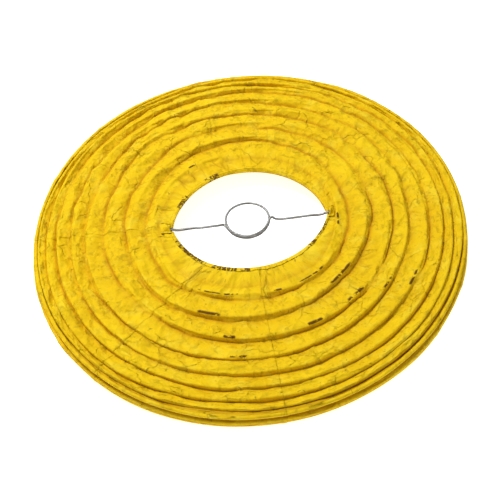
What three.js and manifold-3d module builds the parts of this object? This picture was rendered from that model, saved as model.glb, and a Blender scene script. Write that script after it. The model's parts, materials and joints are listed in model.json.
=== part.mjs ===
// A round accordion lantern shade of handmade paper, folded flat. Separate wire hoops carry eight
// paper gores, and a bent wire bar with a lampholder loop spans the top opening.
// Millimetres, +Z up. The origin is on the vertical axis, at the foot of the bottom hem.
// The front of the shade faces -Y and the crossbar runs along X.
import * as THREE from "three";
import { mergeVertices } from "three/addons/utils/BufferGeometryUtils.js";
import Module from "manifold-3d";

const wasm = await Module();
wasm.setup();

// Driving dimensions of the shade.
const RIM_RADIUS = 208; // centre of the widest hoop's wire
const BANDS = 10; // paper bands between an opening and the widest hoop
const GORES = 8;

// The top opening: the crossbar stretches its hoop into two arcs that meet at the bar's ends.
const EYE_RIGHT = 2.5; // the opening's middle lies this far to the right of the axis
const EYE_FORWARD = 3; // and this far in front of it
const EYE_HALF_LENGTH = 76.5;
const EYE_BACK_DEPTH = 68;
const EYE_FRONT_DEPTH = 57;
const TOP_NECK_RADIUS = 66; // the same hoop before it is stretched
const BOTTOM_OPENING_RADIUS = 82;

// The folded stack.
const RIM_HEIGHT = 14; // centre of the widest hoop's wire
const STACK_FLATNESS = 0.3; // a low power makes a flat top and a steep rim
const TOP_SAG = 8; // how far the paper sinks from the rim to the axis

// Wire, paper and clearances.
const HOOP_WIRE = 1.8; // across the flats of its six-sided section
const BAR_WIRE = 2.4;
const PAPER = 0.7; // paper with its paste and crumples
const GAP = 0.3;
const HEM_WIDTH = 6;
const HEM_TUCK = 3; // the part of a hem that is turned under its hoop
const SEAM_ANGLE = 0.003; // half of the slit between two gores, in radians
const CUTTER_RISE = 20; // how far the hem's cutter reaches above the top hoop

// The lampholder loop.
const LOOP_INNER_RADIUS = 20;
const LOOP_TURNS = 1.5;
const LOOP_RISE = 4.2;
const LOOP_LEFT = 1.5; // the loop lies this far to the left of the bar's middle
const LOOP_BACK = 3.5; // and this far behind the line of its arms

// Mesh steps.
const CIRCLE_STEPS = 32;
const EYE_STEPS = 48;
const GORE_STEPS = CIRCLE_STEPS / GORES;
const LOOP_STOPS = 36; // guide points round the loop
const BAR_STEPS = 150;
const BAR_SIDES = 6;

const WIRE_CORNER = HOOP_WIRE / Math.sqrt(3);
const PAPER_INSIDE = WIRE_CORNER + GAP; // from a wire's centre to the paper's near face
const PAPER_OUTSIDE = PAPER_INSIDE + PAPER;
const FOOT_HEIGHT = PAPER_OUTSIDE; // the bottom hoop's wire stands on its hem
const LOOP_RADIUS = LOOP_INNER_RADIUS + BAR_WIRE / 2;

const steel = new THREE.MeshStandardMaterial({ color: 0x8c8c86, roughness: 0.42, metalness: 0.9 });
const hoopSteel = new THREE.MeshStandardMaterial({ color: 0x77736c, roughness: 0.5, metalness: 0.85 });
const yellowPaper = new THREE.MeshStandardMaterial({ color: 0xf0c808, roughness: 0.85 });
const hemPaper = new THREE.MeshStandardMaterial({ color: 0xdcb204, roughness: 0.88 });

// Angle from the axis to a hoop, seen from the middle of the open shade: 90 degrees at the rim.
function hoopAngle(step, openingRadius) {
  const first = Math.asin(openingRadius / RIM_RADIUS);
  return first + (Math.PI / 2 - first) * (step / BANDS);
}

// Radius and folded height of one hoop. side is 1 above the rim and -1 below it.
function foldedHoop(step, side) {
  const angle = hoopAngle(step, side > 0 ? TOP_NECK_RADIUS : BOTTOM_OPENING_RADIUS);
  const footAngle = hoopAngle(0, BOTTOM_OPENING_RADIUS);
  const halfStack = (RIM_HEIGHT - FOOT_HEIGHT) / Math.cos(footAngle) ** STACK_FLATNESS;
  const lift = step === BANDS ? 0 : halfStack * Math.cos(angle) ** STACK_FLATNESS;
  const sag = side > 0 ? TOP_SAG * (1 - Math.sin(angle)) : 0;
  return { radius: RIM_RADIUS * Math.sin(angle), height: RIM_HEIGHT + side * lift - sag };
}

const topHoop = foldedHoop(0, 1);
const bottomHoop = foldedHoop(0, -1);

// Distance from the bar's middle to the stretched hoop: two arcs that share the bar as a chord.
function eyeRadius(angle) {
  const depth = Math.sin(angle) >= 0 ? EYE_BACK_DEPTH : EYE_FRONT_DEPTH;
  const arcRadius = (EYE_HALF_LENGTH ** 2 + depth ** 2) / (2 * depth);
  const middle = depth - arcRadius;
  const along = middle * Math.abs(Math.sin(angle));
  return along + Math.sqrt(along ** 2 + arcRadius ** 2 - middle ** 2);
}

// A solid swept round the axis from a closed section of [outward, up] points, listed anticlockwise.
// outline gives the section's own distance from the axis at each angle.
function sweepRound(section, outline, start, end, steps) {
  const whole = Math.abs(end - start - 2 * Math.PI) < 1e-9;
  const rings = whole ? steps : steps + 1;
  const size = section.length;
  const positions = [];
  for (let ring = 0; ring < rings; ring += 1) {
    const angle = start + ((end - start) * ring) / steps;
    for (const [outward, up] of section) {
      const radius = outline(angle) + outward;
      positions.push(radius * Math.cos(angle), radius * Math.sin(angle), up);
    }
  }
  const faces = [];
  for (let ring = 0; ring < steps; ring += 1) {
    const here = ring * size;
    const next = ((ring + 1) % rings) * size;
    for (let point = 0; point < size; point += 1) {
      const after = (point + 1) % size;
      faces.push(here + point, next + point, next + after);
      faces.push(here + point, next + after, here + after);
    }
  }
  if (!whole) {
    const last = (rings - 1) * size;
    const contour = section.map(([outward, up]) => new THREE.Vector2(outward, up));
    for (const [a, b, c] of THREE.ShapeUtils.triangulateShape(contour, [])) {
      faces.push(a, b, c);
      faces.push(last + a, last + c, last + b);
    }
  }
  const geometry = new THREE.BufferGeometry();
  geometry.setAttribute("position", new THREE.Float32BufferAttribute(positions, 3));
  geometry.setIndex(faces);
  geometry.computeVertexNormals();
  return geometry;
}

// The six-sided section of a hoop's wire, with a flat on top and one below.
function wireSection(height) {
  const points = [];
  for (let corner = 0; corner < 6; corner += 1) {
    const angle = (corner * Math.PI) / 3;
    points.push([WIRE_CORNER * Math.cos(angle), height + WIRE_CORNER * Math.sin(angle)]);
  }
  return points;
}

function circularHoop(radius, height) {
  return sweepRound(wireSection(height), () => radius, 0, 2 * Math.PI, CIRCLE_STEPS);
}

// A solid swept round the top opening, whose middle is beside the axis.
function sweepRoundEye(section, start, end, steps) {
  return sweepRound(section, eyeRadius, start, end, steps).translate(EYE_RIGHT, -EYE_FORWARD, 0);
}

function stretchedHoop() {
  return sweepRoundEye(wireSection(topHoop.height), 0, 2 * Math.PI, EYE_STEPS);
}

// A strip of paper folded round an opening's hoop: wide on the outside, tucked in on the inside.
function hemSection(height, side) {
  const outer = side * PAPER_OUTSIDE;
  const inner = side * PAPER_INSIDE;
  const points = [
    [HEM_WIDTH, height + outer],
    [-PAPER_OUTSIDE, height + outer],
    [-PAPER_OUTSIDE, height - outer],
    [HEM_TUCK, height - outer],
    [HEM_TUCK, height - inner],
    [-PAPER_INSIDE, height - inner],
    [-PAPER_INSIDE, height + inner],
    [HEM_WIDTH, height + inner],
  ];
  return side > 0 ? points : points.reverse();
}

function toManifold(geometry) {
  const bare = geometry.clone();
  bare.deleteAttribute("normal");
  bare.deleteAttribute("uv");
  const merged = mergeVertices(bare, 1e-4);
  const vertProperties = new Float32Array(merged.attributes.position.array);
  const triVerts = new Uint32Array(merged.index.array);
  return new wasm.Manifold(new wasm.Mesh({ numProp: 3, vertProperties, triVerts }));
}

function fromManifold(solid) {
  const mesh = solid.getMesh();
  const geometry = new THREE.BufferGeometry();
  geometry.setAttribute("position", new THREE.Float32BufferAttribute(mesh.vertProperties, 3));
  geometry.setIndex(Array.from(mesh.triVerts));
  geometry.computeVertexNormals();
  return geometry;
}

function cutAway(geometry, cutters) {
  let solid = toManifold(geometry);
  for (const cutter of cutters) {
    solid = solid.subtract(toManifold(cutter));
  }
  return fromManifold(solid);
}

// One of the top opening's two hem strips, which leave a slot for the hook at each end of the bar.
function topHem(start) {
  const slot = (BAR_WIRE / 2 + 2 * GAP) / EYE_HALF_LENGTH;
  const section = hemSection(topHoop.height, 1);
  return sweepRoundEye(section, start + slot, start + Math.PI - slot, EYE_STEPS / 2);
}

function bottomHem() {
  const section = hemSection(bottomHoop.height, -1);
  return sweepRound(section, () => bottomHoop.radius, 0, 2 * Math.PI, CIRCLE_STEPS);
}

// The folded paper's line through the wires, from the top opening round the rim to the bottom one.
function wireLine() {
  const line = [];
  for (let step = 0; step <= BANDS; step += 1) {
    line.push(foldedHoop(step, 1));
  }
  for (let step = BANDS - 1; step >= 0; step -= 1) {
    line.push(foldedHoop(step, -1));
  }
  return line.map(({ radius, height }) => new THREE.Vector2(radius, height));
}

// The line moved away from the wires by a distance. Both ends stay level.
function offsetLine(line, distance) {
  return line.map((point, index) => {
    const before = line[Math.max(index - 1, 0)];
    const after = line[Math.min(index + 1, line.length - 1)];
    const along = after.clone().sub(before).normalize();
    if (index === 0) {
      along.set(1, 0);
    }
    if (index === line.length - 1) {
      along.set(-1, 0);
    }
    return [point.x - along.y * distance, point.y + along.x * distance];
  });
}

// A closed section of the paper skin, which starts inside the top hem and ends at the bottom one.
function skinSection() {
  const line = wireLine();
  line[0].x = EYE_FRONT_DEPTH;
  line[line.length - 1].x = bottomHoop.radius + HEM_WIDTH + GAP;
  const outside = offsetLine(line, PAPER_OUTSIDE);
  const inside = offsetLine(line, PAPER_INSIDE);
  return [...inside, ...outside.reverse()];
}

// One gore, cut clear of the top hem.
function gore(index) {
  const width = (2 * Math.PI) / GORES;
  const start = index * width + SEAM_ANGLE;
  const end = (index + 1) * width - SEAM_ANGLE;
  const strip = sweepRound(skinSection(), () => 0, start, end, GORE_STEPS);
  const hemEdge = HEM_WIDTH + GAP;
  const foot = RIM_HEIGHT;
  const head = topHoop.height + CUTTER_RISE;
  const cutter = [
    [-EYE_FRONT_DEPTH, foot],
    [hemEdge, foot],
    [hemEdge, head],
    [-EYE_FRONT_DEPTH, head],
  ];
  return cutAway(strip, [sweepRoundEye(cutter, 0, 2 * Math.PI, EYE_STEPS)]);
}

// The crossbar's centre line: a hook over each end of the hoop, two arms, and the loop between them.
// A hook curls over the hoop's wire, so its points are multiples of the distance between the wires.
function crossbarPath() {
  const level = topHoop.height;
  const over = WIRE_CORNER + BAR_WIRE / 2 + GAP;
  const end = EYE_HALF_LENGTH;
  const hook = [
    [end + over * 0.9, level - over * 0.8],
    [end + over * 1.1, level + over * 0.1],
    [end + over * 0.6, level + over * 0.95],
    [end - over * 0.4, level + over * 1.05],
    [end - over * 1.6, level + over * 0.4],
    [end - over * 3, level],
  ];
  const points = hook.map(([x, z]) => new THREE.Vector3(-x, 0, z));
  const bottom = level - LOOP_RISE / 2;
  const bend = BAR_WIRE * 1.6;
  const leftSide = -LOOP_LEFT - LOOP_RADIUS;
  const rightSide = -LOOP_LEFT + LOOP_RADIUS;
  points.push(new THREE.Vector3(leftSide - 3 * bend, 0, level));
  points.push(new THREE.Vector3(leftSide - bend, LOOP_BACK / 2, bottom));
  for (let stop = 1; stop < LOOP_STOPS; stop += 1) {
    const share = stop / LOOP_STOPS;
    const angle = Math.PI + 2 * Math.PI * LOOP_TURNS * share;
    const x = LOOP_RADIUS * Math.cos(angle) - LOOP_LEFT;
    const y = LOOP_RADIUS * Math.sin(angle) + LOOP_BACK;
    points.push(new THREE.Vector3(x, y, bottom + LOOP_RISE * share));
  }
  points.push(new THREE.Vector3(rightSide + bend, LOOP_BACK / 2, bottom + LOOP_RISE));
  points.push(new THREE.Vector3(rightSide + 3 * bend, 0, level));
  points.push(...hook.reverse().map(([x, z]) => new THREE.Vector3(x, 0, z)));
  return new THREE.CatmullRomCurve3(points, false, "centripetal");
}

function crossbar() {
  const section = new THREE.Shape();
  for (let side = 0; side < BAR_SIDES; side += 1) {
    const angle = (side * 2 * Math.PI) / BAR_SIDES;
    const x = (BAR_WIRE / 2) * Math.cos(angle);
    const y = (BAR_WIRE / 2) * Math.sin(angle);
    if (side === 0) {
      section.moveTo(x, y);
    } else {
      section.lineTo(x, y);
    }
  }
  section.closePath();
  const extrudePath = crossbarPath();
  const bar = new THREE.ExtrudeGeometry(section, { steps: BAR_STEPS, bevelEnabled: false, extrudePath });
  return bar.translate(EYE_RIGHT, -EYE_FORWARD, 0);
}

const lantern = new THREE.Group();

function add(name, geometry, material) {
  const mesh = new THREE.Mesh(geometry, material);
  mesh.name = name;
  lantern.add(mesh);
}

add("top_hoop", stretchedHoop(), hoopSteel);
add("bottom_hoop", circularHoop(bottomHoop.radius, bottomHoop.height), hoopSteel);
add("rim_hoop", circularHoop(RIM_RADIUS, RIM_HEIGHT), hoopSteel);
for (let step = 1; step < BANDS; step += 1) {
  const upper = foldedHoop(step, 1);
  const lower = foldedHoop(step, -1);
  add(`upper_hoop_${step}`, circularHoop(upper.radius, upper.height), hoopSteel);
  add(`lower_hoop_${step}`, circularHoop(lower.radius, lower.height), hoopSteel);
}
for (let index = 0; index < GORES; index += 1) {
  add(`paper_gore_${index + 1}`, gore(index), yellowPaper);
}
add("top_hem_back", topHem(0), hemPaper);
add("top_hem_front", topHem(Math.PI), hemPaper);
add("bottom_hem", bottomHem(), hemPaper);
add("crossbar", crossbar(), steel);

export default lantern;
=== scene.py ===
"""A round accordion lantern shade of crumpled handmade paper, folded flat on a pale floor."""

import json
import math

import bpy
import numpy as np
from mathutils import Matrix, Vector


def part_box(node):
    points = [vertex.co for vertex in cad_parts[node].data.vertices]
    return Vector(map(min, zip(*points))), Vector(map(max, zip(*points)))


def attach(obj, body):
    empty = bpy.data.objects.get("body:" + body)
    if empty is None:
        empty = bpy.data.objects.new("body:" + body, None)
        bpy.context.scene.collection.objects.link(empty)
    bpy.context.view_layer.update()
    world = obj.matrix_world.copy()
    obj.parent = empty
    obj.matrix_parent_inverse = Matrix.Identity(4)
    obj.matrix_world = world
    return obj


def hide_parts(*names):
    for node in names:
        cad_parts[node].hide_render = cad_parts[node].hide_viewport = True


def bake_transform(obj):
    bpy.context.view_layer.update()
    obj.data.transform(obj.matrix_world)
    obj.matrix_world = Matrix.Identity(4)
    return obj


MM = 0.001

# The radii of the wires, in millimetres, and how far from its centre the frame's six-sided hoop wire
# has its corners.
HOOP_WIRE = 0.9
BAR_WIRE = 1.2
CAD_WIRE_CORNER = 1.04

# The paper, in millimetres: its air over a wire and the extra air at the rim, its wall, the paste
# under a lap, and how much one gore laps over the next one at the rim.
PAPER_LIFT = 0.5
RIM_LIFT = 0.45
PAPER_WALL = 0.3
PASTE = 0.05
SEAM_LAP = 3.5

# The seams between the gores, in degrees anticlockwise from the right end of the bar.
SEAMS = [0, 44, 90, 135, 179, 226, 274, 318, 360]

# Where the bar's line across the top opening lies: in front of the axis, in millimetres along Y.
EYE_MIDDLE_Y = -3.0
# How fast the paper of the first band comes back to the axis on its way to the first round hoop.
EYE_SHIFT_FADE = 1.2

# The crossbar, in millimetres: its loop and the bends into it, and its hook's outline round the hoop,
# counted in the distance between the two wires' centres.
LOOP_RADIUS = 21
LOOP_TURNS = 1.5
LOOP_RISE = 4.2
LOOP_STOPS = 40
LOOP_LEFT = 1.5
LOOP_BACK = 3.5
LOOP_BEND = 2.6
LOOP_UNEVEN = 0.25
HOOK_GAP = 0.15
HOOK = [(0.1, -0.95), (0.95, -0.55), (1.05, 0.2), (0.5, 0.95), (-0.4, 1.02), (-1.7, 0.45), (-3.2, 0)]

# How far the hoops stray from true circles, in millimetres. Those near the rim stray together.
STRAY_TOGETHER = 2.6
STRAY_ALONE = 3.4
STRAY_ALONE_LESS_AT_RIM = 2.8
STRAY_KINKS = 0.5
STRAY_UP = 2.2
STRAY_UP_LESS_AT_RIM = 1.4
# About how many hoops from the rim count as near it, and what is left of the strays upwards under the rim
# and of all strays at the stretched top hoop.
RIM_REACH = 3.5
LOWER_STRAY = 0.15
EYE_STRAY = 0.3

# Where a fold of the top side lies between its hoops, from 0 at the inner one to 1 at the outer one:
# nearer to the inner hoop in front and at the sides, and nearer to the outer hoop behind.
FOLD_LEAN = 0.36
FOLD_LEAN_AT_SIDES = 0.2
FOLD_WANDER = 0.13
FOLD_JITTER = 0.06
FOLD_CLOSEST = 0.1
FIRST_FOLD = 0.7
SLIT_WIDTH = 0.05

# The crumples: lumps this size, this high, with creases this wide, and their seed. Creases are valleys
# where the height is above 0, and ridges where it is below.
CRUMPLES = [(40, 5.6, 0.04, 31), (19, -3.0, 0.06, 32), (9, 1.2, 0.1, 33)]
# How far and over what length crumples are bent sideways, and how deep their creases are cut.
CRUMPLE_BEND, CRUMPLE_BEND_LENGTH = 4.0, 16
CREASE_CUT = 0.25
# The mean of a crumple's noise, which is taken off so that the paper keeps its place, and the
# rounding of its creases.
CRUMPLE_MEAN, CREASE_ROUNDING = 0.35, 0.02
# What is left of the crumples where the paper is calm, and beside a hoop.
CALM_CRUMPLE = 0.35
HELD_CRUMPLE = 0.15

# Beside a wire the paper falls at most this far with each row of faces.
FALL_PER_ROW = 0.6
# Kinks in the paper over a wire rise this far, and under the rim they are this much of that.
KINK_RISE, LOWER_KINK = 0.7, 0.2
# The paper within this reach past its air, and within this share of its band, moves with the hoop.
HOLD_REACH, HOLD_MOST = 0.3, 0.3

# Where the paper over a hoop has worn through to dark bark: the hoop, the middle and the half width
# of the stretch in degrees anticlockwise from the right end of the bar.
WORN_STRETCHES = [
    (1, 243, 9), (1, 256, 6), (1, 284, 3), (1, 308, 13), (1, 352, 6), (1, 122, 4),
    (2, 248, 7), (2, 316, 10), (3, 259, 3), (3, 292, 4), (3, 312, 6), (4, 263, 4), (4, 322, 4), (5, 328, 4),
]
# The same for the hem's edge: the middle, the half width and how torn it is.
WORN_EDGE = [(207, 20, 1.0), (243, 14, 0.9), (262, 6, 0.7), (338, 20, 0.8), (118, 8, 0.8), (152, 9, 0.7)]

# The hems, in shares of their band: how wide they are at least, and how much more where they are
# widest. Then, in millimetres, their air over the paper and round the wire, and what is tucked in
# under it. Last, in radians, what the top hem leaves free at each end of the bar.
TOP_HEM_WIDTH = (0.05, 0.06)
BOTTOM_HEM_WIDTH = (0.1, 0.17)
HEM_AIR = 0.5
HEM_TURN_AIR = 0.45
HEM_TUCK, HEM_TUCK_MORE = 2.0, 1.6
HEM_GAP = 0.03

# The scraps over the bar's ends: half their width in radians, where they start and end in shares of
# the first band, and how far they rise over the bar and over the paper beside it.
TAB_HALF = 0.075
TAB_START, TAB_END = 0.03, 0.42
TAB_OVER_BAR, TAB_OVER_PAPER = 3.4, 0.7
TAB_RAGGED = 0.8

# How far apart on the noise's own axis the hoops and the bands read it, so that each is its own.
NOISE_APART = 7.3
BAND_NOISE_APART = 3.7
KINK_NOISE_APART = 31.0

# How the paper is divided into faces.
BAND_ROWS = 18
GORE_COLUMNS = 116
HOOP_STEPS = 192
HEM_ROWS = 7
HEM_TURN_ROWS = 8
HEM_COLUMNS_PER_RADIAN = 70
TAB_ROWS, TAB_COLUMNS = 16, 30

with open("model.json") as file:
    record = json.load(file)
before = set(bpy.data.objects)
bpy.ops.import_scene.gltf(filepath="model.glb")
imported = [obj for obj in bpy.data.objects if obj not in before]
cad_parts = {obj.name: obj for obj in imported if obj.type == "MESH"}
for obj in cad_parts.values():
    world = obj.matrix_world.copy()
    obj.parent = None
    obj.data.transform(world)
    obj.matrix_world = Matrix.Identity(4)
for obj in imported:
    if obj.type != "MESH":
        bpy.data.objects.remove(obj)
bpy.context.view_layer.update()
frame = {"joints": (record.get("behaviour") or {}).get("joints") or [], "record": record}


def to_mesh(name, points, faces):
    """A smooth mesh object from points in millimetres."""
    mesh = bpy.data.meshes.new(name)
    mesh.from_pydata((np.asarray(points) * MM).tolist(), [], faces)
    mesh.polygons.foreach_set("use_smooth", [True] * len(mesh.polygons))
    piece = bpy.data.objects.new(name, mesh)
    bpy.context.scene.collection.objects.link(piece)
    return piece


def hashed(cells, seed):
    """An even random number from 0 to 1 for each whole-numbered cell."""
    x, y, z = (cells[..., i].astype(np.int64) for i in range(3))
    mixed = x * 73856093 ^ y * 19349663 ^ z * 83492791 ^ (seed + 1) * 2654435761
    mixed = (mixed ^ (mixed >> 15)) * 2246822519 & 0xFFFFFFFF
    mixed = (mixed ^ (mixed >> 13)) * 3266489917 & 0xFFFFFFFF
    return (mixed >> 8 & 0xFFFF) / 0xFFFF


def soft_noise(places, size, seed):
    """Smooth noise from -1 to 1, whose lumps are about size across."""
    scaled = places / size
    base = np.floor(scaled)
    part = scaled - base
    ease = part * part * (3 - 2 * part)
    total = 0
    for corner in np.ndindex(2, 2, 2):
        offset = np.array(corner)
        weight = np.prod(np.where(offset, ease, 1 - ease), axis=-1)
        total = total + weight * hashed(base + offset, seed)
    return 2 * total - 1


def smoothstep(low, high, value):
    share = np.clip((value - low) / (high - low), 0, 1)
    return share * share * (3 - 2 * share)


def around(angle, level):
    """Places on a ring of radius 1 at a level, where noise closes on itself."""
    return np.stack([np.cos(angle), np.sin(angle), level + np.zeros_like(angle)], -1)


# The hoops, from the top opening round the rim to the bottom opening.
UPPER = [f"upper_hoop_{step}" for step in range(1, 10)]
LOWER = [f"lower_hoop_{step}" for step in range(9, 0, -1)]
HOOPS = ["top_hoop", *UPPER, "rim_hoop", *LOWER, "bottom_hoop"]
RIM_HOOP = HOOPS.index("rim_hoop")
LAST = len(HOOPS) - 1


def hoop_place(name):
    """Radius and folded height of a round hoop's wire, in millimetres."""
    low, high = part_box(name)
    radius = (high[0] - low[0]) / 2 / MM - CAD_WIRE_CORNER
    return radius, (high[2] + low[2]) / 2 / MM


def hoop_shares():
    """Each hoop's share of the top hoop's travel."""
    ratios = {c["joint"]: c["ratio"] for c in frame["record"]["behaviour"]["couplings"]}
    between_ends = [ratios[f"{name}_lift"] for name in HOOPS[1:-1]]
    return np.array([1.0, *between_ends, 0.0])


RADII, HEIGHTS = np.array([hoop_place(name) for name in HOOPS]).T
SHARES = hoop_shares()
TRAVEL = max(j["range_m"][1] for j in frame["joints"]) / MM
OPEN_HEIGHTS = HEIGHTS + SHARES * TRAVEL
RIM = RADII.max()

# How deep each band of paper folds in, its slit below that, and its room for crumples. Band 0 is the
# one next to the top opening.
BANDS = np.arange(LAST)
TOP_BANDS = BANDS < RIM_HOOP - 1
RIM_BANDS = np.abs(BANDS - (RIM_HOOP - 0.5)) < 2
MOST_DEPTH = np.where(BANDS == 0, 1.4, np.where(TOP_BANDS, 4.3, np.where(RIM_BANDS, 5.5, 2.2)))
SLIT_DEPTH = np.where(BANDS == 0, 0.0, np.where(TOP_BANDS, 2.2, np.where(RIM_BANDS, 2.5, 0.3)))
CRUMPLE_ROOM = np.where(BANDS < RIM_HOOP - 3, 1.0, np.where(BANDS < RIM_HOOP + 2, 0.45, 0.25))


def opening_shape():
    """Half length and both depths of the stretched top hoop, and where its middle lies."""
    low, high = (Vector(corner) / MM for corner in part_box("top_hoop"))
    half = (high.x - low.x) / 2 - CAD_WIRE_CORNER
    middle = np.array([(high.x + low.x) / 2, EYE_MIDDLE_Y])
    return half, high.y - CAD_WIRE_CORNER - middle[1], middle[1] - low.y - CAD_WIRE_CORNER, middle


EYE_HALF, EYE_BACK, EYE_FRONT, EYE_MIDDLE = opening_shape()


def eye_radius(angle):
    """Distance from the middle of the opening to its hoop: two arcs with the crossbar as their chord."""
    depth = np.where(np.sin(angle) >= 0, EYE_BACK, EYE_FRONT)
    arc = (EYE_HALF**2 + depth**2) / (2 * depth)
    along = (depth - arc) * np.abs(np.sin(angle))
    return along + np.sqrt(along**2 + arc**2 - (depth - arc) ** 2)


def hoop_wander(index, angle):
    """How far a hand-bent hoop strays outwards and upwards."""
    own = around(angle, index * NOISE_APART)
    near_rim = np.exp(-(((index - RIM_HOOP) / RIM_REACH) ** 2))
    outward = STRAY_TOGETHER * soft_noise(around(angle, 0.0), 0.9, seed=2) * near_rim
    alone = STRAY_ALONE - STRAY_ALONE_LESS_AT_RIM * near_rim
    outward = outward + alone * soft_noise(own, 0.8, seed=3)
    outward = outward + STRAY_KINKS * soft_noise(own, 0.22, seed=4)
    upward = (STRAY_UP - STRAY_UP_LESS_AT_RIM * near_rim) * soft_noise(own, 0.6, seed=5)
    free_above = np.where(index <= RIM_HOOP, 1.0, LOWER_STRAY)
    return outward, upward * free_above


def hoop_line(index, angle):
    """Points of a hoop's wire in the meridian plane: distance from the axis and height."""
    index = np.broadcast_to(index, angle.shape)
    outward, upward = hoop_wander(index, angle)
    first = index == 0
    radius = np.where(first, eye_radius(angle) + EYE_STRAY * outward, RADII[index] + outward)
    return radius, HEIGHTS[index] + np.where(first, EYE_STRAY, 1.0) * upward


def outward_normals():
    """The direction away from the inside of the folded shade at each hoop."""
    line = np.stack([RADII, HEIGHTS], -1)
    along = np.gradient(line, axis=0)
    along[0] = (1, 0)
    along[-1] = (-1, 0)
    along /= np.linalg.norm(along, axis=1)[:, None]
    return np.stack([-along[:, 1], along[:, 0]], -1)


NORMALS = outward_normals()


def stretch(angle, middle, half):
    """1 in the middle of a stretch of a ring, and 0 beyond its ends."""
    away = np.abs((np.degrees(angle) - middle + 180) % 360 - 180)
    return 1 - smoothstep(0.6 * half, half, away)


def worn_through(hoop, angle):
    """1 where the paper over a hoop has worn through."""
    worn = np.zeros(angle.shape)
    for number, middle, half in WORN_STRETCHES:
        worn = np.maximum(worn, stretch(angle, middle, half) * (hoop == number))
    return worn


def crumple(places):
    """Height of the creased paper over its smooth band, in millimetres, and how much shade to paint along
    its creases.
    """
    warp = np.stack([soft_noise(places, CRUMPLE_BEND_LENGTH, seed) for seed in (21, 22, 23)], -1)
    bent = places + CRUMPLE_BEND * warp
    height = np.zeros(places.shape[:-1])
    crease_shade = np.zeros(places.shape[:-1])
    for size, high, width, seed in CRUMPLES:
        field = soft_noise(bent, size, seed) + 0.35 * soft_noise(bent, size / 2.3, seed + 10)
        shown = smoothstep(-0.55, 0.35, soft_noise(places, 2.2 * size, seed + 20))
        line = (1 - smoothstep(0.0, width, np.abs(field))) * shown
        facet = np.sqrt(field**2 + CREASE_ROUNDING**2) - CRUMPLE_MEAN
        height = height + high * facet * (CALM_CRUMPLE + (1 - CALM_CRUMPLE) * shown)
        height = height - CREASE_CUT * line
        # Painted shade along each crease: most where the crease is a valley, less where it is a ridge.
        crease_shade = np.maximum(crease_shade, line * (0.9 if high > 0 else 0.3))
    return height, crease_shade


def stand_off(index):
    """How far the paper keeps from a wire's centre: wider over the rim hoops, where it turns sharply."""
    return HOOP_WIRE + PAPER_LIFT + np.where(np.abs(index - RIM_HOOP) < 2, RIM_LIFT, 0)


def ridge_lift(index, angle):
    """How far the paper stands off a wire's centre, with a kink here and there."""
    across, back = RADII[index] * np.cos(angle), RADII[index] * np.sin(angle)
    place = np.stack([across, back, index * KINK_NOISE_APART], -1)
    wide_kink = np.maximum(0, soft_noise(place, 19, seed=14))
    short_kink = np.maximum(0, soft_noise(place, 8, seed=15))
    kink = wide_kink + 0.6 * short_kink
    rise = KINK_RISE * np.where(index <= RIM_HOOP, 1, LOWER_KINK)
    return stand_off(index) + rise * kink


class BandLine:
    """A band's straight line from one hoop to the next, at many angles, in the meridian plane."""

    def __init__(self, band, angle):
        self.wires = [np.stack(hoop_line(hoop, angle), -1) for hoop in (band, band + 1)]
        self.lifts = [stand_off(hoop) for hoop in (band, band + 1)]
        self.start, end = (
            wire + NORMALS[hoop] * ridge_lift(hoop, angle)[..., None]
            for wire, hoop in zip(self.wires, (band, band + 1))
        )
        self.chord = end - self.start
        self.width = np.linalg.norm(self.chord, axis=-1)
        self.onward = self.chord / self.width[..., None]
        self.outward = np.stack([-self.onward[..., 1], self.onward[..., 0]], -1)


def fold_part(angle, band, ring):
    """Where a band's fold lies, from 0 at its first hoop to 1 at its second one."""
    lean = FOLD_LEAN * np.sin(angle) - FOLD_LEAN_AT_SIDES * np.abs(np.cos(angle))
    wander = FOLD_WANDER * soft_noise(ring, 0.4, seed=8) + FOLD_JITTER * soft_noise(ring, 0.11, seed=9)
    fold = 0.5 + np.where(TOP_BANDS[band], lean, 0) + wander
    return np.where(band == 0, FIRST_FOLD, np.clip(fold, FOLD_CLOSEST, 1 - FOLD_CLOSEST))


def sunk(band, row, ring):
    """How far the folded paper lies below its band's line, and how much of that is its slit."""
    uneven = 0.8 + 0.5 * soft_noise(ring, 0.5, seed=7) + 0.3 * soft_noise(ring, 0.1, seed=6)
    fall = 1 - np.abs(2 * row - 1)
    slit = smoothstep(-0.5, 0.3, soft_noise(ring, 0.3, seed=10)) * SLIT_DEPTH[band]
    slit = slit * np.exp(-(((row - 0.5) / SLIT_WIDTH) ** 2))
    return MOST_DEPTH[band] * uneven * fall + slit, slit


def between(values, band, part):
    """A value part of the way from a band's first hoop to its second one."""
    return values[band] * (1 - part) + values[band + 1] * part


def beside_wire(section, wire, inward, outward, lift):
    """Keeps the paper on its own side of a wire: it passes over the wire and then down beside it."""
    away = section - wire
    along = np.sum(away * inward, -1)
    above = np.sum(away * outward, -1)
    side = np.sqrt(np.maximum(lift**2 - np.clip(above, 0, lift) ** 2, 0))
    push = np.maximum(side - along, 0) * (above < lift - 0.02)
    return section + inward * push[..., None]


def clear_of_wires(section, line, row, place):
    """Lets the paper fall only so far with each row beside a wire, and keeps it off both wires."""
    fallen = FALL_PER_ROW * BAND_ROWS * np.minimum(row, 1 - row)
    for wire, lift in zip(line.wires, line.lifts):
        above = np.sum((section - wire) * line.outward, -1)
        section = section + line.outward * np.maximum(lift - fallen - above, 0)[..., None]
    kept = beside_wire(section, line.wires[0], line.onward, line.outward, line.lifts[0])
    kept = beside_wire(kept, line.wires[1], -line.onward, line.outward, line.lifts[1])
    inner_rows = ((row > 0) & (place < LAST))[..., None]
    return np.where(inner_rows, kept, section)


def travel_share(line, band, part):
    """The paper's share of the travel: beside a hoop it moves with it, and it is drawn out between."""
    held = np.minimum((line.lifts[0] + HOLD_REACH) / line.width, HOLD_MOST)
    moved = np.clip((part - held) / (1 - 2 * held), 0, 1)
    return between(SHARES, band, moved)


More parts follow.
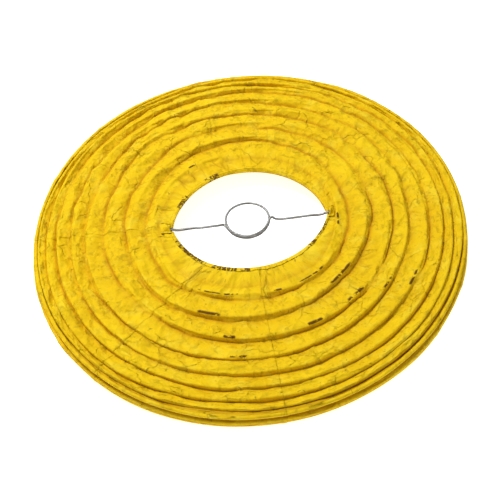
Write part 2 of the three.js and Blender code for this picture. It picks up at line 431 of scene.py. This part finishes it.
def skin(angle, place):
    """The paper at an angle and a place along its meridian, counted in hoops from the top opening.

    Half of each band's rows lie before its fold and half after it, so the fold is a sharp line."""
    band = np.clip(np.floor(place).astype(int), 0, LAST - 1)
    row = place - band
    to_hoop = np.minimum(row, 1 - row)
    ring = around(angle, band * BAND_NOISE_APART)
    fold = fold_part(angle, band, ring)
    part = np.where(row < 0.5, 2 * row * fold, fold + (2 * row - 1) * (1 - fold))

    line = BandLine(band, angle)
    sink, slit = sunk(band, row, ring)
    section = line.start + line.chord * part[..., None] - line.outward * sink[..., None]

    radius, height = between(RADII, band, part), between(OPEN_HEIGHTS, band, part)
    open_place = np.stack([radius * np.cos(angle), radius * np.sin(angle), height], -1)
    bump, crease_shade = crumple(open_place)
    free = HELD_CRUMPLE + (1 - HELD_CRUMPLE) * smoothstep(0.0, 0.25, to_hoop)
    free = np.where(to_hoop > 0, free, 0)
    section = section + line.outward * (bump * free * CRUMPLE_ROOM[band])[..., None]
    section = clear_of_wires(section, line, row, place)

    hoop = np.where(row < 0.5, band, band + 1)
    weight = smoothstep(0.2, 0.0, np.minimum(part, 1 - part))[..., None]
    direction = line.outward * (1 - weight) + NORMALS[hoop] * weight
    # Painted shade for the material: darker towards each band's fold and in its slit, and under the rim
    # darker all the way into the valley.
    rim_valley_shade = 0.9 * (2 * to_hoop)
    fold_valley_shade = 0.4 * (2 * to_hoop) ** 4 + 0.6 * slit / SLIT_DEPTH[1]
    return {
        "points": spin(section, angle, place),
        "outward": turn(direction, angle),
        "share": travel_share(line, band, part),
        "open_place": open_place,
        # Painted shade in the folds, and below it painted shade along the crumples' creases.
        "fold": np.where(RIM_BANDS[band], rim_valley_shade, fold_valley_shade),
        "crease_shade": crease_shade * free,
        "worn": worn_through(hoop, angle) * (1 - smoothstep(0.01, 0.1, to_hoop)),
    }


def turn(section, angle):
    """Directions or points in the meridian plane, turned to their angle round the axis."""
    across, up = section[..., 0], section[..., 1]
    return np.stack([across * np.cos(angle), across * np.sin(angle), up], -1)


def spin(section, angle, place):
    """Section points to their place round the axis. The top opening's middle is beside it."""
    points = turn(section, angle)
    points[..., :2] += EYE_MIDDLE * np.clip(1 - EYE_SHIFT_FADE * place, 0, 1)[..., None]
    points[..., 2] = np.maximum(points[..., 2], PAPER_WALL + PASTE)
    return points


def grid_faces(rows, columns):
    """Four-sided faces over rows of points, facing out when columns run anticlockwise from above."""
    faces = []
    for row in range(rows - 1):
        for column in range(columns - 1):
            here = row * columns + column
            faces.append((here, here + columns, here + columns + 1, here + 1))
    return faces


def store(piece, name, values):
    """Keeps one number or one vector for each point of a piece."""
    vector = values.shape[-1] == 3 and values.ndim > 2
    kind, field = ("FLOAT_VECTOR", "vector") if vector else ("FLOAT", "value")
    attribute = piece.data.attributes.new(name, kind, "POINT")
    attribute.data.foreach_set(field, values.astype(np.float32).ravel())


def applied(piece):
    """A piece's mesh with its modifiers, or a curve's with its bevel, applied."""
    bpy.context.view_layer.update()
    return bpy.data.meshes.new_from_object(piece.evaluated_get(bpy.context.evaluated_depsgraph_get()))


def thicken(piece, wall):
    """Gives a sheet its wall, inwards from its outer face, and applies it."""
    solid = piece.modifiers.new("wall", "SOLIDIFY")
    solid.thickness = wall * MM
    solid.offset = -1
    finished = applied(piece)
    piece.modifiers.clear()
    piece.data = finished


def follow_hoops(piece):
    """Puts each point of the paper for a moment on a line, each where the easing gives back its share of
    the top hoop's travel, bakes the piece's transform, and then puts the points back."""
    mesh = piece.data
    count = len(mesh.vertices)
    rest = np.empty(count * 3, np.float32)
    mesh.vertices.foreach_get("co", rest)
    share = np.empty(count, np.float32)
    mesh.attributes["share"].data.foreach_get("value", share)
    line = np.zeros((count, 3), np.float32)
    line[:, 2] = 0.5 - np.sin(np.arcsin(np.clip(1 - 2 * share, -1, 1)) / 3)
    mesh.vertices.foreach_set("co", line.ravel())
    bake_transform(piece)
    mesh.vertices.foreach_set("co", rest)
    mesh.update()


def new_material(name):
    """An empty material with a Principled shader, and its tree."""
    material = bpy.data.materials.new(name)
    material.use_nodes = True
    tree = material.node_tree
    shader = tree.nodes["Principled BSDF"]
    return material, tree, shader


def ramp(tree, source, low, high):
    """A smooth step of a number from 0 at low to 1 at high."""
    step = tree.nodes.new("ShaderNodeMapRange")
    step.interpolation_type = "SMOOTHSTEP"
    step.inputs["From Min"].default_value = low
    step.inputs["From Max"].default_value = high
    tree.links.new(source, step.inputs["Value"])
    return step.outputs["Result"]


def times(tree, first, second):
    """The product of two numbers. Each is a number or a socket."""
    product = tree.nodes.new("ShaderNodeMath")
    product.operation = "MULTIPLY"
    for socket, value in zip(product.inputs, (first, second)):
        if isinstance(value, (int, float)):
            socket.default_value = value
        else:
            tree.links.new(value, socket)
    return product.outputs[0]


def mix_colour(tree, share, under, over):
    """over laid on under by a share. Each is a colour or a socket."""
    mix = tree.nodes.new("ShaderNodeMix")
    mix.data_type = "RGBA"
    for socket, value in zip((mix.inputs[0], mix.inputs[6], mix.inputs[7]), (share, under, over)):
        if isinstance(value, bpy.types.NodeSocket):
            tree.links.new(value, socket)
        elif isinstance(value, tuple):
            socket.default_value = (*value, 1)
        else:
            socket.default_value = value
    return mix.outputs[2]


def noise_of(tree, place, scale, detail=2.0, distortion=0.0, rough=0.5):
    texture = tree.nodes.new("ShaderNodeTexNoise")
    texture.inputs["Scale"].default_value = scale
    texture.inputs["Detail"].default_value = detail
    texture.inputs["Roughness"].default_value = rough
    texture.inputs["Distortion"].default_value = distortion
    tree.links.new(place, texture.inputs["Vector"])
    return texture.outputs["Fac"]


def cells_of(tree, place, scale, feature):
    """Cells with bent borders: the distance to their middles, or to their edges."""
    warp = tree.nodes.new("ShaderNodeTexNoise")
    warp.inputs["Scale"].default_value = 60
    tree.links.new(place, warp.inputs["Vector"])
    bent = tree.nodes.new("ShaderNodeVectorMath")
    bent.operation = "MULTIPLY_ADD"
    bent.inputs[1].default_value = (0.016, 0.016, 0.016)
    tree.links.new(warp.outputs["Color"], bent.inputs[0])
    tree.links.new(place, bent.inputs[2])
    cells = tree.nodes.new("ShaderNodeTexVoronoi")
    cells.feature = feature
    cells.inputs["Scale"].default_value = scale
    tree.links.new(bent.outputs["Vector"], cells.inputs["Vector"])
    return cells.outputs["Distance"]


def attribute_of(tree, name, output="Fac"):
    reader = tree.nodes.new("ShaderNodeAttribute")
    reader.attribute_name = name
    return reader.outputs[output]


def bumped(tree, height, strength, distance, under=None):
    """A bump node that raises the surface by a height times a distance, over another normal."""
    bump = tree.nodes.new("ShaderNodeBump")
    bump.inputs["Strength"].default_value = strength
    bump.inputs["Distance"].default_value = distance
    tree.links.new(height, bump.inputs["Height"])
    if under:
        tree.links.new(under, bump.inputs["Normal"])
    return bump


def dyed_fibres(tree, place):
    """Patchy yellow dye with milky clouds, olive fibre flecks and scraps of bark."""
    patches = ramp(tree, noise_of(tree, place, 22, 3), 0.35, 0.7)
    colour = mix_colour(tree, patches, (0.74, 0.475, 0.002), (0.78, 0.53, 0.004))
    milky = ramp(tree, noise_of(tree, place, 60, 4, 0.6), 0.5, 0.72)
    colour = mix_colour(tree, times(tree, milky, 0.5), colour, (0.8, 0.61, 0.03))
    flecked = ramp(tree, noise_of(tree, place, 26, 2), 0.38, 0.56)
    fleck = ramp(tree, noise_of(tree, place, 170, 3, 0.7), 0.54, 0.66)
    colour = mix_colour(tree, times(tree, times(tree, flecked, fleck), 0.5), colour, (0.4, 0.27, 0.004))
    bark = ramp(tree, noise_of(tree, place, 85, 3, 2.4), 0.68, 0.75)
    return mix_colour(tree, times(tree, bark, 0.7), colour, (0.2, 0.13, 0.01))


def shade_in_folds_and_creases(tree, colour, cracks):
    """Painted shade: orange in the folds, and brown along the creases and in the cracks."""
    colour = mix_colour(tree, times(tree, attribute_of(tree, "fold"), 0.9), colour, (0.46, 0.2, 0.0))
    colour = mix_colour(tree, times(tree, attribute_of(tree, "crease_shade"), 0.6), colour, (0.42, 0.22, 0.001))
    return mix_colour(tree, times(tree, cracks, 0.3), colour, (0.36, 0.2, 0.001))


def worn_dark(tree, place, colour, torn):
    """Frayed dark slits over the wires and, on a hem, a dark torn edge."""
    frayed = ramp(tree, noise_of(tree, place, 190, 3, 0.3, 0.6), 0.4, 0.5)
    slit = times(tree, ramp(tree, attribute_of(tree, "worn"), 0.3, 0.75), frayed)
    colour = mix_colour(tree, times(tree, slit, 0.96), colour, (0.085, 0.026, 0.001))
    if torn:
        holes = ramp(tree, noise_of(tree, place, 300, 4, 1.0, 0.6), 0.36, 0.56)
        edge = ramp(tree, times(tree, attribute_of(tree, "torn"), holes), 0.3, 0.7)
        colour = mix_colour(tree, times(tree, edge, 0.93), colour, (0.07, 0.025, 0.002))
    return colour


def handmade_paper(name, torn=False):
    """Yellow-dyed bark paper, with shade painted into its folds, creases and cracks: dull, with facets,
    cracks and fibres that catch the light.
    """
    material, tree, shader = new_material(name)
    place = attribute_of(tree, "open_place", "Vector")
    borders = ramp(tree, cells_of(tree, place, 42, "DISTANCE_TO_EDGE"), 0.045, 0.0)
    # Crack lines, cut in by the bump below, with shade painted into them.
    cracks = times(tree, borders, ramp(tree, noise_of(tree, place, 35, 2), 0.5, 0.62))
    colour = shade_in_folds_and_creases(tree, dyed_fibres(tree, place), cracks)
    colour = worn_dark(tree, place, colour, torn)
    tree.links.new(colour, shader.inputs["Base Color"])
    shader.inputs["Roughness"].default_value = 0.75
    shader.inputs["Specular IOR Level"].default_value = 0.14

    facets = bumped(tree, cells_of(tree, place, 75, "F1"), 0.6, 0.006)
    cuts = bumped(tree, cracks, 0.6, 0.0012, facets.outputs["Normal"])
    cuts.invert = True
    fibres = noise_of(tree, place, 230, 5, 0.8, 0.62)
    fuzz = bumped(tree, fibres, 0.6, 0.0013, cuts.outputs["Normal"])
    tree.links.new(fuzz.outputs["Normal"], shader.inputs["Normal"])
    return material


def drawn_wire(name, light, dark, rough):
    """Dull wire with darker streaks and small pits."""
    material, tree, shader = new_material(name)
    coordinates = tree.nodes.new("ShaderNodeTexCoord").outputs["Object"]
    drawn_out = tree.nodes.new("ShaderNodeMapping")
    drawn_out.inputs["Scale"].default_value = (90, 700, 700)
    tree.links.new(coordinates, drawn_out.inputs["Vector"])
    streaks = ramp(tree, noise_of(tree, drawn_out.outputs["Vector"], 1.0, 3), 0.42, 0.66)
    tree.links.new(mix_colour(tree, streaks, light, dark), shader.inputs["Base Color"])
    shader.inputs["Metallic"].default_value = 0.85
    shader.inputs["Roughness"].default_value = rough
    pits = bumped(tree, noise_of(tree, coordinates, 900, 2), 0.25, 0.0002)
    tree.links.new(pits.outputs["Normal"], shader.inputs["Normal"])
    return material


def finish_sheet(piece, parts, material):
    """Stores what the paper's material and the moving hoops need, and gives the sheet its wall."""
    for name in ("share", "open_place", "fold", "crease_shade", "worn", "torn"):
        if name in parts:
            values = parts[name] * MM if name == "open_place" else parts[name]
            store(piece, name, values)
    piece.data.materials.append(material)
    thicken(piece, PAPER_WALL)
    follow_hoops(piece)


def make_gore(index, seams, material):
    """One pasted strip of paper, which laps over the next one at its seam."""
    start, end = seams[index], seams[index + 1]
    lap = SEAM_LAP / RIM
    angles = np.linspace(start - lap / 2, end + lap / 2, GORE_COLUMNS)
    rows = [band + np.arange(BAND_ROWS) / BAND_ROWS for band in range(LAST)]
    places = np.concatenate([*rows, [LAST]])
    place, angle = np.meshgrid(places, angles, indexing="ij")
    parts = skin(angle, place)
    over = smoothstep(end - lap * 1.4, end - lap * 0.6, angle)
    pressed_down = smoothstep(end + lap * 0.1, end + lap * 0.5, angle)
    rise = over * (PAPER_WALL + PASTE - 0.9 * PAPER_WALL * pressed_down)
    points = parts["points"] + parts["outward"] * rise[..., None]
    piece = to_mesh(f"gore_{index + 1}", points.reshape(-1, 3), grid_faces(*place.shape))
    finish_sheet(piece, parts, material)
    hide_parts(f"paper_gore_{index + 1}")


def torn_edge(angle, level):
    """A ragged edge that wanders between 0 and 1 round the opening."""
    ring = around(angle, level)
    slow = soft_noise(ring, 0.35, seed=61)
    quick = soft_noise(ring, 0.05, seed=62)
    return np.clip(0.5 + 0.3 * slow + 0.2 * quick, 0, 1)


def hem_flap(angles, at_top):
    """The hem's outside, from its torn edge to the hoop: rows of paper that lie on the gores."""
    hoop = 0 if at_top else LAST
    least, more = TOP_HEM_WIDTH if at_top else BOTTOM_HEM_WIDTH
    wide = least + more * torn_edge(angles, 1.0 + hoop)
    parts = [wide * share for share in np.linspace(1, 0.03, HEM_ROWS)]
    return [skin(angles, part if at_top else LAST - part) for part in parts]


def hem_turn(angles, at_top):
    """The hem's inside: rows of points round the wire, and then tucked in under the paper."""
    hoop, side = (0, 1) if at_top else (LAST, -1)
    radius, height = hoop_line(np.full(len(angles), hoop), angles)
    reach = HOOP_WIRE + PAPER_LIFT + HEM_TURN_AIR
    sections = []
    for turned in np.linspace(0.0, math.pi, HEM_TURN_ROWS):
        across, up = radius - reach * math.sin(turned), height + side * reach * math.cos(turned)
        sections.append(np.stack([across, up], -1))
    tuck = HEM_TUCK + HEM_TUCK_MORE * torn_edge(angles, 4.0 + hoop)
    for share in (0.5, 1.0):
        sections.append(np.stack([radius + tuck * share, height - side * reach], -1))
    return [spin(section, angles, np.full(len(angles), float(hoop))) for section in sections]


def hem_tears(angles, shape):
    """How torn a hem is at each of its points: most at its outer edge and along its worn stretches."""
    torn = np.full(shape, 0.25)
    torn[0] = 0.8
    for middle, half, strength in WORN_EDGE:
        torn = np.maximum(torn, strength * stretch(angles, middle, half))
    return torn


def make_hem(name, start, end, at_top, material, nodes):
    """A torn strip of paper folded over an opening's hoop: wide outside, and tucked in under the wire."""
    angles = np.linspace(start, end, int(abs(end - start) * HEM_COLUMNS_PER_RADIAN))
    flap = hem_flap(angles, at_top)
    inner = hem_turn(angles, at_top)
    outer = [row["points"] + row["outward"] * HEM_AIR for row in flap]
    points = np.stack(outer + inner)
    parts = {}
    for key in ("open_place", "fold", "crease_shade", "worn"):
        parts[key] = np.stack([row[key] for row in flap] + [flap[-1][key]] * len(inner))
    drop = np.arange(len(inner)) * 1.2
    parts["open_place"][len(outer) :, :, 2] += (-1 if at_top else 1) * drop[:, None]
    parts["share"] = np.full(points.shape[:2], 1.0 if at_top else 0.0)
    torn = hem_tears(angles, points.shape[:2])
    parts["torn"] = torn if at_top else 0.3 * torn
    faces = grid_faces(*points.shape[:2])
    faces = [face[::-1] for face in faces] if at_top else faces
    piece = to_mesh(name, points.reshape(-1, 3), faces)
    finish_sheet(piece, parts, material)
    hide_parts(*nodes)


def make_tab(name, middle, material):
    """A torn scrap of paper pasted over one end of the bar."""
    angles = np.linspace(middle - TAB_HALF, middle + TAB_HALF, TAB_COLUMNS)
    places = np.linspace(TAB_START, TAB_END, TAB_ROWS)
    place, angle = np.meshgrid(places, angles, indexing="ij")
    parts = skin(angle, place)
    beside = np.abs(angle - middle) / TAB_HALF
    over_bar = (1 - smoothstep(0.1, 0.75, beside)) * (1 - smoothstep(0.15, 0.36, place))
    rise = TAB_OVER_BAR * over_bar + TAB_OVER_PAPER
    points = parts["points"] + parts["outward"] * rise[..., None]
    points[..., 1] += TAB_RAGGED * soft_noise(parts["open_place"], 3, seed=71) * beside**2
    parts["share"] = np.ones(place.shape)
    parts["torn"] = 0.7 * smoothstep(0.75, 1.0, beside) + 0.2
    faces = [face[::-1] for face in grid_faces(*place.shape)]
    piece = to_mesh(name, points.reshape(-1, 3), faces)
    finish_sheet(piece, parts, material)


def tube(name, path, radius, closed):
    """A round wire along points in millimetres, as a mesh."""
    curve = bpy.data.curves.new(name, "CURVE")
    curve.dimensions = "3D"
    curve.bevel_depth = radius * MM
    curve.bevel_resolution = 3
    curve.use_fill_caps = not closed
    spline = curve.splines.new("POLY")
    spline.points.add(len(path) - 1)
    spline.points.foreach_set("co", np.c_[np.asarray(path) * MM, np.ones(len(path))].ravel())
    spline.use_cyclic_u = closed
    holder = bpy.data.objects.new(name, curve)
    bpy.context.scene.collection.objects.link(holder)
    mesh = applied(holder)
    bpy.data.objects.remove(holder)
    mesh.polygons.foreach_set("use_smooth", [True] * len(mesh.polygons))
    piece = bpy.data.objects.new(name, mesh)
    bpy.context.scene.collection.objects.link(piece)
    return piece


def make_hoop(index, material):
    """A hand-bent hoop, which strays a little from a true circle as the paper over it does."""
    name = HOOPS[index]
    angles = np.linspace(0, 2 * math.pi, HOOP_STEPS, endpoint=False)
    section = np.stack(hoop_line(np.full(HOOP_STEPS, index), angles), -1)
    points = spin(section, angles, np.full(HOOP_STEPS, float(index)))
    body = {"top_hoop": "top_ring", "bottom_hoop": "bottom_ring"}.get(name, f"{name}_ring")
    piece = tube(f"{name}_wire", points, HOOP_WIRE, closed=True)
    piece.data.materials.append(material)
    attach(piece, body)
    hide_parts(name)


def rounded(points, count):
    """A smooth line through points, cut into even steps by a centripetal spline."""
    points = np.asarray(points, float)
    ends = np.vstack([2 * points[0] - points[1], points, 2 * points[-1] - points[-2]])
    gaps = np.sqrt(np.linalg.norm(np.diff(ends, axis=0), axis=1))
    knots = np.concatenate([[0], np.cumsum(gaps)])
    line = []
    for i in range(1, len(ends) - 2):
        t0, t1, t2, t3 = knots[i - 1 : i + 3]
        p0, p1, p2, p3 = ends[i - 1 : i + 3]
        for t in np.linspace(t1, t2, count, endpoint=False):
            a1 = (t1 - t) / (t1 - t0) * p0 + (t - t0) / (t1 - t0) * p1
            a2 = (t2 - t) / (t2 - t1) * p1 + (t - t1) / (t2 - t1) * p2
            a3 = (t3 - t) / (t3 - t2) * p2 + (t - t2) / (t3 - t2) * p3
            b1 = (t2 - t) / (t2 - t0) * a1 + (t - t0) / (t2 - t0) * a2
            b2 = (t3 - t) / (t3 - t1) * a2 + (t - t1) / (t3 - t1) * a3
            line.append((t2 - t) / (t2 - t1) * b1 + (t - t1) / (t2 - t1) * b2)
    return np.vstack([line, points[-1]])


def loop_points(low):
    """The lampholder's loop, from its left side round one and a half turns to its right side."""
    points = []
    for stop in range(2, LOOP_STOPS - 1):
        share = stop / LOOP_STOPS
        angle = math.pi * (1 + 2 * LOOP_TURNS * share)
        radius = LOOP_RADIUS + LOOP_UNEVEN * math.sin(3 * angle)
        x, y = radius * math.cos(angle) - LOOP_LEFT, radius * math.sin(angle) + LOOP_BACK
        points.append((x, y, low + LOOP_RISE * share))
    return points


def crossbar_path():
    """A hook over each end of the hoop, two arms that are not quite straight, and the loop."""
    level = HEIGHTS[0]
    over = HOOP_WIRE + BAR_WIRE + HOOK_GAP
    hook = [(EYE_HALF + x * over, level + z * over) for x, z in HOOK]
    low = level - LOOP_RISE / 2
    left, right = -LOOP_LEFT - LOOP_RADIUS, -LOOP_LEFT + LOOP_RADIUS
    points = [(-x, 0, z) for x, z in hook]
    points += [(-58, 0.3, level - 0.1), (-42, -0.3, level + 0.2)]
    points.append((left - 2.6 * LOOP_BEND, 0.2, level))
    points.append((left - 0.9 * LOOP_BEND, LOOP_BACK / 2, low))
    points += loop_points(low)
    points.append((right + 0.9 * LOOP_BEND, LOOP_BACK / 2, low + LOOP_RISE))
    points.append((right + 2.6 * LOOP_BEND, 0.2, level + 0.2))
    points += [(42, -0.2, level - 0.2), (58, 0.2, level)]
    points += [(x, 0, z) for x, z in reversed(hook)]
    line = rounded(points, 8)
    line[:, :2] += EYE_MIDDLE
    return line


def make_crossbar(material):
    piece = tube("crossbar_wire", crossbar_path(), BAR_WIRE, closed=False)
    piece.data.materials.append(material)
    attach(piece, "top_ring")
    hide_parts("crossbar")


def make_lantern():
    """The whole shade. The top hem leaves a gap at each end of the bar, under the scraps."""
    paper = handmade_paper("yellow_bark_paper")
    hem = handmade_paper("torn_hem_paper", torn=True)
    hoop_steel = drawn_wire("dull_hoop_wire", (0.3, 0.28, 0.26), (0.1, 0.08, 0.06), 0.6)
    bar_steel = drawn_wire("galvanised_wire", (0.36, 0.36, 0.35), (0.17, 0.165, 0.155), 0.55)
    seams = np.radians(SEAMS)
    for index in range(len(SEAMS) - 1):
        make_gore(index, seams, paper)
    back_end, front_end = math.pi - HEM_GAP, 2 * math.pi - HEM_GAP
    make_hem("hem_back", HEM_GAP, back_end, True, hem, ["top_hem_back"])
    make_hem("hem_front", math.pi + HEM_GAP, front_end, True, hem, ["top_hem_front"])
    make_hem("hem_bottom", 0.0, 2 * math.pi, False, hem, ["bottom_hem"])
    make_tab("tab_right", 0.0, hem)
    make_tab("tab_left", math.pi, hem)
    for index in range(len(HOOPS)):
        make_hoop(index, hoop_steel)
    make_crossbar(bar_steel)


def make_floor():
    """A pale floor, which reaches far behind the shade and glows a little so that it stays pale."""
    half = 60.0
    corners = [(-half, -half, 0), (half, -half, 0), (half, half, 0), (-half, half, 0)]
    mesh = bpy.data.meshes.new("floor")
    mesh.from_pydata(corners, [], [(0, 1, 2, 3)])
    floor = bpy.data.objects.new("floor", mesh)
    bpy.context.scene.collection.objects.link(floor)
    material, _, shader = new_material("pale_floor")
    shader.inputs["Base Color"].default_value = (0.92, 0.92, 0.92, 1)
    shader.inputs["Roughness"].default_value = 0.95
    shader.inputs["Specular IOR Level"].default_value = 0.1
    shader.inputs["Emission Color"].default_value = (1, 1, 1, 1)
    shader.inputs["Emission Strength"].default_value = 0.75
    mesh.materials.append(material)


def soft_lamp(name, place, aim, size, watts):
    light = bpy.data.lights.new(name, "AREA")
    light.shape = "DISK"
    light.size = size
    light.energy = watts
    lamp = bpy.data.objects.new(name, light)
    lamp.location = place
    lamp.rotation_euler = (Vector(aim) - Vector(place)).to_track_quat("-Z", "Y").to_euler()
    bpy.context.scene.collection.objects.link(lamp)


def make_studio():
    """A white room with a soft lamp overhead, a little behind and to the left, and a weak one in front."""
    world = bpy.data.worlds.new("white_room")
    world.use_nodes = True
    backdrop = world.node_tree.nodes["Background"]
    backdrop.inputs["Color"].default_value = (1, 1, 1, 1)
    backdrop.inputs["Strength"].default_value = 0.42
    bpy.context.scene.world = world
    soft_lamp("key_lamp", (-0.55, 0.55, 1.45), (0, 0, 0), size=0.5, watts=25)
    soft_lamp("fill_lamp", (0.8, -1.2, 1.2), (0, 0, 0), size=1.2, watts=3)
    bpy.context.scene.view_settings.view_transform = "Standard"


def make_camera():
    """A long lens that looks down on the shade from the front, turned a little."""
    from_plumb, roll, away = math.radians(51.3), math.radians(6.3), 0.8495
    right = Vector((1, 0, 0))
    up = Vector((0, math.sin(from_plumb), math.cos(from_plumb)))
    back = Vector((0, -math.cos(from_plumb), math.sin(from_plumb)))
    across = right * math.cos(roll) - up * math.sin(roll)
    upright = right * math.sin(roll) + up * math.cos(roll)
    place = Vector((0.004, 0, 0)) + back * away
    data = bpy.data.cameras.new("camera")
    data.sensor_width = 36
    data.lens = 62.2
    data.shift_x = -0.0042
    data.shift_y = -0.034
    camera = bpy.data.objects.new("camera", data)
    rows = [(*(axis[i] for axis in (across, upright, back)), place[i]) for i in range(3)]
    camera.matrix_world = Matrix([*rows, (0, 0, 0, 1)])
    bpy.context.scene.collection.objects.link(camera)
    bpy.context.scene.camera = camera


make_lantern()
make_floor()
make_studio()
make_camera()
bpy.context.view_layer.update()
